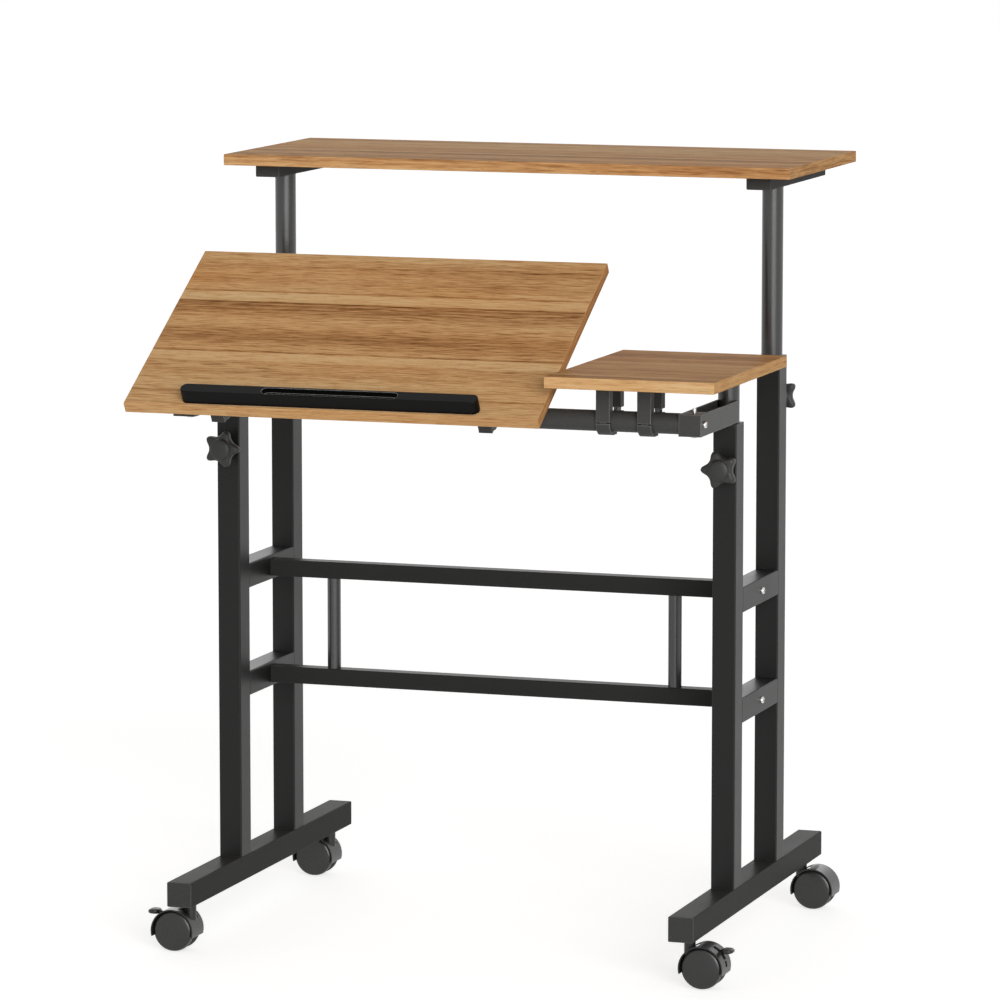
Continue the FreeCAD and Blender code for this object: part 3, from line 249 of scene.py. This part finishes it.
def laminate(name, slope, corner, seed, edge_row, end_row):
    """Wood-print laminate in staves along X, with edge banding on the front, back and ends."""
    p = Paint(name)
    turn = Matrix.Rotation(-slope, 3, "X")
    level = {"Rotation": (-slope, 0, 0)}
    flat = p.node("Mapping", {"Vector": p.object_place, "Location": -(turn @ corner), **level})
    look = p.node("Mapping", {"Vector": p.node("TexCoord").outputs["Normal"], **level})
    along, depth, height = p.node("SeparateXYZ", {0: flat.outputs[0]}).outputs
    normal_x, _, normal_z = p.node("SeparateXYZ", {0: look.outputs[0]}).outputs
    is_end = p.math("GREATER_THAN", p.math("ABSOLUTE", normal_x), 0.7)
    is_face = p.math("GREATER_THAN", p.math("ABSOLUTE", normal_z), 0.7)
    run = p.node("Mix", {0: is_end, 2: along, 3: depth}).outputs[0]
    band_row = p.scaled(is_end, (edge_row - seed % 1) * PRINT_WIDTH, (end_row - seed % 1) * PRINT_WIDTH)
    band = p.math("ADD", height, band_row)
    row = p.node("Mix", {0: is_face, 2: band, 3: depth}).outputs[0]

    def streaks(lengthwise, crosswise, detail, roughness=0.6, row_place=row):
        place = p.node("CombineXYZ", {
            0: p.math("MULTIPLY", run, lengthwise),
            1: p.math("MULTIPLY", row_place, crosswise),
            2: seed,
        })
        return p.noise(place.outputs[0], 1.0, detail, roughness)

    def around(value, swing):
        return p.math("MULTIPLY", p.math("SUBTRACT", value, 0.5), swing)

    # Slow waves bend the lines of the grain, from wide patches down to single pores
    bent = p.math("ADD", row, around(streaks(3.0, 13.0, 2.0), 9 * MM))
    patch = streaks(2.2, 20.0, 2.0)
    lines = streaks(2.0, 125.0, 2.0, 0.6, bent)
    fine = streaks(38.0, 300.0, 4.0, 0.7, bent)
    hair = streaks(20.0, 480.0, 3.0, 0.65, bent)
    dashes = p.between(streaks(30.0, 760.0, 2.0, 0.6, bent), 0.48, 0.66)
    pores = p.math("GREATER_THAN", streaks(75.0, 1600.0, 1.0, 0.5, bent), 0.67)
    arch = around(streaks(2.4, 6.0, 1.0), 80 * MM)
    rings = p.math("SINE", p.math("MULTIPLY", p.math("ADD", bent, arch), 2 * math.pi / (7 * MM)))

    # A stave's own tone, and arched figure only where the stave is dark
    print_place = p.math("FRACT", p.math("ADD", p.math("DIVIDE", row, PRINT_WIDTH), seed))
    stave = p.ramp(print_place, [(place, (tone, tone, tone)) for place, tone in STAVES])
    dark = p.between(stave, 0.52, 0.36)
    tone = p.math("ADD", stave, around(stave, 0.30))
    tone = p.math("ADD", tone, around(patch, 0.36))
    tone = p.math("ADD", tone, around(lines, 0.30))
    tone = p.math("ADD", tone, around(fine, 0.36))
    tone = p.math("ADD", tone, around(hair, 0.65))
    tone = p.math("ADD", tone, p.math("MULTIPLY", rings, p.math("MULTIPLY", dark, 0.06)))
    tone = p.math("ADD", tone, 0.065)
    tone = p.math("SUBTRACT", tone, p.math("MULTIPLY", dashes, p.scaled(is_face, 0.12, 0.26)))
    colour = p.ramp(tone, LAMINATE)
    warmth = p.between(streaks(2.0, 9.0, 1.0), 0.42, 0.72)
    colour = p.mix(warmth, colour, (1.0, 0.87, 0.73, 1), "MULTIPLY")
    colour = p.mix(p.math("MULTIPLY", pores, 0.4), colour, (0.09, 0.038, 0.014, 1))
    # Edges paler: partly wear, partly a painted highlight
    edge_wear_and_highlight = p.scaled(p.edges(0.9 * MM), 0.0, 0.3)
    colour = p.mix(edge_wear_and_highlight, colour, (0.60, 0.40, 0.22, 1))
    relief = p.math("SUBTRACT", p.math("ADD", fine, hair), p.math("MULTIPLY", pores, 0.6))
    return p.finish(
        Base_Color=colour,
        Roughness=p.scaled(fine, 0.40, 0.58),
        Normal=p.bump(relief, 0.08 * MM, 0.25),
        Specular_IOR_Level=0.004,
    )


def board_corner(node, slope):
    """Lowest front left corner of a board, undoing its slope about the rail."""
    turn = Matrix.Rotation(-slope, 3, "X")
    points = [turn @ vertex.co for vertex in NODES[node].data.vertices]
    return turn.inverted() @ Vector(min(point[axis] for point in points) for axis in range(3))


FRAME_PAINT = powder_coat("frame_powder_coat", 0.009, 0.40, 0.22, 0.10)
RAIL_PAINT = powder_coat("rail_powder_coat", 0.025, 0.40, 0.05, 0.10)
FOOT_PAINT = powder_coat("foot_powder_coat", 0.037, 0.36, 0.010, 0.20, 1.5)
FITTING_PAINT = powder_coat("fitting_powder_coat", 0.058, 0.40, 0.12, 0.34)
TUBE_PAINT = powder_coat("tube_powder_coat", 0.016, 0.25, 0.75, 0.10)
LEDGE_PLASTIC = moulding("ledge_plastic", 0.0035, 0.33, 0.09, 800.0, 0.7, 0.9)
KNOB_PLASTIC = moulding("knob_plastic", 0.022, 0.48, 0.4)
CASTER_PLASTIC = moulding("caster_plastic", 0.019, 0.31, 0.38, 2800.0)
WHEEL_PLASTIC = moulding("wheel_plastic", 0.017, 0.28, 0.48, 2800.0)
BUSH_PLASTIC = moulding("bush_plastic", 0.012, 0.45, 0.3)
ZINC = bare_metal("zinc_plate", (0.72, 0.72, 0.71), 0.24, (900.0, 900.0, 900.0))
STEEL = bare_metal("turned_steel", (0.50, 0.50, 0.50), 0.34, (300.0, 300.0, 2600.0))

# Each board's slope, place in the print, and the rows of the print on its front edge and its ends
PRINTS = {
    "shelf_board": (0.0, 5.35, 0.585, 0.46),
    "side_board": (0.0, 9.6, 0.15, 0.22),
    "tilt_board": (TILT, 2.0, 0.24, 0.44),
}
BOARDS = {}
for board, (slope, *rows) in PRINTS.items():
    BOARDS[board] = laminate(board + "_laminate", slope, board_corner(board, slope), *rows)

# Endings of node names and their finish, first match first; the other nodes get the frame's paint
FINISHES = (
    (("_bolts", "_screws"), ZINC),
    (("_axle", "caster_stems"), STEEL),
    (("_ledge",), LEDGE_PLASTIC),
    (("_knob",), KNOB_PLASTIC),
    (("_bushes", "_caps"), BUSH_PLASTIC),
    (("_wheel",), WHEEL_PLASTIC),
    (("_caster_hood", "_brake_lever"), CASTER_PLASTIC),
    (("_inner_tube", "brace_rods"), TUBE_PAINT),
    (("_cross_rail",), RAIL_PAINT),
    (("_foot", "_shelf_bracket"), FOOT_PAINT),
    (("_bracket", "_clamps", "_hooks", "desk_rail"), FITTING_PAINT),
)


def finish_for(node):
    if node in BOARDS:
        return BOARDS[node]
    for endings, material in FINISHES:
        if node.endswith(endings):
            return material
    return FRAME_PAINT


for node, part in NODES.items():
    part.data.materials.clear()
    part.data.materials.append(finish_for(node))


# Turned and lofted pieces
def circle(radius, height, count=64):
    angles = [2 * math.pi * i / count for i in range(count)]
    return [Vector((radius * math.cos(a), radius * math.sin(a), height)) for a in angles]


def skin(name, rings, place, body, material, nodes=()):
    """A closed piece over rings of equal count, in millimetres, flat at both ends and put in place."""
    count = len(rings[0])
    faces = [list(reversed(range(count)))]
    for low in range(0, (len(rings) - 1) * count, count):
        for i in range(count):
            j = (i + 1) % count
            faces.append((low + i, low + j, low + count + j, low + count + i))
    faces.append([(len(rings) - 1) * count + i for i in range(count)])
    mesh = bpy.data.meshes.new(name)
    mesh.from_pydata([place @ (point * MM) for ring in rings for point in ring], [], faces)
    mesh.shade_smooth()
    mesh.set_sharp_from_angle(angle=math.radians(42))
    mesh.materials.append(material)
    piece = bpy.data.objects.new(name, mesh)
    bpy.context.scene.collection.objects.link(piece)
    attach(piece, body)
    if nodes:
        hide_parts(*nodes)
    return piece


def facing(origin, axis, side):
    """Where a piece drawn along Z stands: its Z along axis, its X along side."""
    axis, side = Vector(axis), Vector(side)
    turn = Matrix((side, axis.cross(side), axis)).transposed()
    return Matrix.Translation(origin) @ turn.to_4x4()


# Star knob: a neck, five soft lobes and a domed hub
KNOB_LENGTH = 24.0
LOBE_COUNT = 5
# Share of the full outline or radius, and height
LOBE_RIM = (
    (0.70, 8.0), (0.86, 8.1), (0.94, 8.7), (0.985, 9.9), (1.0, 11.6), (1.0, 14.8), (0.985, 16.6),
    (0.95, 17.9), (0.90, 18.7),
)
HUB_PROFILE = (
    (12.7, 19.5), (12.7, 20.2), (12.6, 20.9), (12.2, 21.8), (11.3, 22.6), (9.7, 23.2), (7.2, 23.7),
    (3.8, 23.95), (0.6, 24.0),
)


def star(scale, height, fullness=1.0, count=100):
    """Outline of the lobes; fullness 0 draws it down to a circle of the middle radius."""
    ring = []
    for i in range(count):
        angle = 2 * math.pi * i / count
        wave = 3.45 * math.cos(LOBE_COUNT * angle) + 0.645 * math.cos(2 * LOBE_COUNT * angle)
        radius = (18.2 + fullness * wave) * scale
        ring.append(Vector((radius * math.cos(angle), radius * math.sin(angle), height)))
    return ring


def make_knob(node):
    joint = JOINTS[node + "_screw"]
    origin, axis = Vector(joint["pos_m"]), Vector(joint["axis"])
    low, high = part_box(node)
    tip = max((low - origin).dot(axis), (high - origin).dot(axis))
    side = Vector((-1 if "right" in node else 1, 0, 0))
    place = facing(origin + axis * (tip - KNOB_LENGTH * MM), axis, side)
    neck = [circle(r, z, 100) for r, z in ((5.0, 0.0), (8.4, 0.0), (9.0, 0.6), (9.0, 6.6), (9.8, 7.6))]
    lobes = [star(s, z) for s, z in LOBE_RIM]
    slope = [star(0.83, 19.2, 0.85), star(0.76, 19.4, 0.5), star(0.715, 19.45, 0.0)]
    hub = [circle(r, z, 100) for r, z in HUB_PROFILE]
    grip = neck + lobes + slope + hub
    skin(node + "_grip", grip, place, joint["child"], KNOB_PLASTIC, [node])
    thread = [circle(0.6, -9.5, 48), circle(3.2, -9.5, 48)]
    for turn in range(8):
        thread += [circle(3.9, -8.9 + turn * 1.25, 48), circle(3.3, -8.3 + turn * 1.25, 48)]
    thread += [circle(3.6, 1.8, 48), circle(0.6, 1.8, 48)]
    skin(node + "_stud", thread, place, joint["child"], STEEL)


# Wheel: bore, tread with a step, rounded rim and a domed disc; radius and distance along the axle
WHEEL_PROFILE = (
    (0.5, 8.2), (3.2, 8.2), (3.2, 0.0), (20.6, 0.0), (22.8, 0.3), (23.7, 1.0), (24.0, 1.9),
    (24.0, 4.0), (23.7, 4.3), (23.5, 4.6), (23.5, 5.9), (23.4, 6.7), (23.05, 7.5), (22.4, 8.2),
    (21.5, 8.75), (20.2, 9.1), (17.5, 9.55), (14.0, 9.98), (10.0, 10.3), (5.0, 10.53), (0.5, 10.6),
)


def make_wheel(tag, end):
    node = "%s_%s_wheel" % (tag, end)
    joint = JOINTS["%s_%s_roll" % (tag, end)]
    origin, axis = Vector(joint["pos_m"]), Vector(joint["axis"]).normalized()
    low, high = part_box(node)
    centre = (low + high) / 2
    middle = (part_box(tag + "_hood")[0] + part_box(tag + "_hood")[1]) / 2
    if (centre - middle).dot(axis) < 0:
        axis = -axis
    inner = min(abs((low - middle).dot(axis)), abs((high - middle).dot(axis)))
    hub = origin + axis * (middle - origin).dot(axis) + axis * inner
    side = axis.cross(Vector((0, 0, 1)))
    place = facing(hub, axis, side)
    rings = [circle(r, z, 96) for r, z in WHEEL_PROFILE]
    skin(node + "_turned", rings, place, joint["child"], WHEEL_PLASTIC, [node])


# Brake lever: a round root, a neck and a leaf-shaped pad with grip ribs; length, half width, underside, top
LEVER_SECTIONS = (
    (30.2, 2.2, 38.8, 40.4), (31.2, 3.5, 37.2, 42.2), (33.5, 3.8, 35.9, 43.1), (36.0, 3.7, 38.2, 44.6),
    (37.8, 3.9, 41.2, 45.6), (38.7, 5.4, 41.6, 46.2), (39.7, 7.2, 41.4, 46.7), (41.0, 8.4, 41.2, 47.1),
    (42.6, 8.9, 41.2, 47.2), (43.0, 8.95, 41.2, 46.6), (43.4, 9.0, 41.2, 47.2), (44.5, 9.0, 41.2, 47.2),
    (44.9, 9.0, 41.2, 46.6), (45.3, 9.0, 41.2, 47.2), (46.4, 9.0, 41.2, 47.2), (46.8, 8.95, 41.2, 46.6),
    (47.2, 8.9, 41.3, 47.2), (48.3, 8.6, 41.4, 47.1), (48.7, 8.4, 41.5, 46.5), (49.1, 8.2, 41.6, 46.9),
    (50.2, 7.3, 41.9, 46.6), (51.1, 6.0, 42.3, 46.1), (51.8, 4.4, 42.9, 45.5), (52.2, 2.4, 43.5, 44.9),
)


def make_lever(tag):
    node = tag + "_brake_lever"
    low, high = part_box(node)
    side = 1 if "right" in tag else -1
    stem = JOINTS[tag + "_swivel"]["pos_m"]
    place = facing(Vector((stem[0], (low.y + high.y) / 2, 0)), (side, 0, 0), (0, 0, 1))
    rings = []
    for length, half, under, top in LEVER_SECTIONS:
        ring = []
        for i in range(40):
            angle = 2 * math.pi * i / 40
            c, s = math.cos(angle), math.sin(angle)
            wide = half * math.copysign(abs(s) ** 0.6, s)
            tall = (top + under) / 2 + (top - under) / 2 * math.copysign(abs(c) ** 0.6, c)
            ring.append(Vector((tall, wide, length)))
        rings.append(ring)
    body = JOINTS[tag + "_brake_press"]["child"]
    skin(node + "_leaf", rings, place, body, CASTER_PLASTIC, [node])


for place in ("front", "rear"):
    for side in ("left", "right"):
        make_knob("%s_%s_knob" % (place, side))
        tag = "%s_%s_caster" % (place, side)
        make_wheel(tag, "front")
        make_wheel(tag, "back")
        if place == "front":
            make_lever(tag)


# Floor, light and camera
def make_floor():
    bpy.ops.mesh.primitive_plane_add(size=40, location=(0, 0, -0.4 * MM))
    floor = bpy.context.object
    floor.name = "studio_floor"
    p = Paint("studio_floor_paint")
    path = p.node("LightPath").outputs
    mirrored = p.math("MAXIMUM", path["Is Glossy Ray"], path["Is Transmission Ray"])
    seen = p.math("MAXIMUM", path["Is Camera Ray"], mirrored)
    p.finish(Base_Color=(0.88, 0.88, 0.87, 1), Roughness=0.9, Specular_IOR_Level=0.0)
    glow = p.node("Emission", {"Strength": p.math("MULTIPLY", seen, FLOOR_LIFT)})
    above = p.node("AddShader", {0: p.surface.outputs[0], 1: glow.outputs[0]})
    below = p.node("BsdfTransparent")
    is_below = p.node("NewGeometry").outputs["Backfacing"]
    either = p.node("MixShader", {0: is_below, 1: above.outputs[0], 2: below.outputs[0]})
    p.links.new(either.outputs[0], p.nodes["Material Output"].inputs["Surface"])
    floor.data.materials.append(p.material)


def make_world():
    world = bpy.data.worlds.new("studio")
    bpy.context.scene.world = world
    world.use_nodes = True
    nodes, links = world.node_tree.nodes, world.node_tree.links
    path = nodes.new("ShaderNodeLightPath").outputs
    mirrored = nodes.new("ShaderNodeMath")
    mirrored.operation = "MAXIMUM"
    links.new(path["Is Glossy Ray"], mirrored.inputs[0])
    links.new(path["Is Transmission Ray"], mirrored.inputs[1])
    seen = nodes.new("ShaderNodeMath")
    seen.operation = "MAXIMUM"
    links.new(path["Is Camera Ray"], seen.inputs[0])
    links.new(mirrored.outputs[0], seen.inputs[1])
    level = nodes.new("ShaderNodeMapRange")
    links.new(seen.outputs[0], level.inputs["Value"])
    level.inputs["To Min"].default_value = AMBIENT
    level.inputs["To Max"].default_value = BACKGROUND
    background = nodes["Background"]
    background.inputs["Color"].default_value = (1, 1, 1, 1)
    links.new(level.outputs[0], background.inputs["Strength"])


def softbox(name, azimuth, elevation, spread, level):
    """A large far lamp; spread is the angle it fills, level the brightness of a white card facing it."""
    az, el = math.radians(azimuth), math.radians(elevation)
    towards = Vector((math.sin(az) * math.cos(el), -math.cos(az) * math.cos(el), math.sin(el)))
    lamp = bpy.data.lights.new(name, "SUN")
    lamp.angle = math.radians(spread)
    lamp.energy = level * math.pi
    holder = bpy.data.objects.new(name, lamp)
    holder.rotation_euler = towards.to_track_quat("Z", "Y").to_euler()
    bpy.context.scene.collection.objects.link(holder)


def make_camera():
    camera = bpy.data.objects.new("camera", bpy.data.cameras.new("camera"))
    bpy.context.scene.collection.objects.link(camera)
    camera.data.lens = CAMERA_LENS
    camera.data.sensor_width = SENSOR_WIDTH
    camera.data.clip_end = 100
    camera.location = CAMERA_PLACE
    camera.rotation_euler = (math.pi / 2 - CAMERA_DOWN, 0, CAMERA_AZIMUTH)
    bpy.context.scene.camera = camera


make_floor()
make_world()
softbox("key", 32, 8, 44, KEY)
softbox("fill", 205, 6, 60, FILL)
make_camera()
bpy.context.scene.view_settings.view_transform = "Standard"
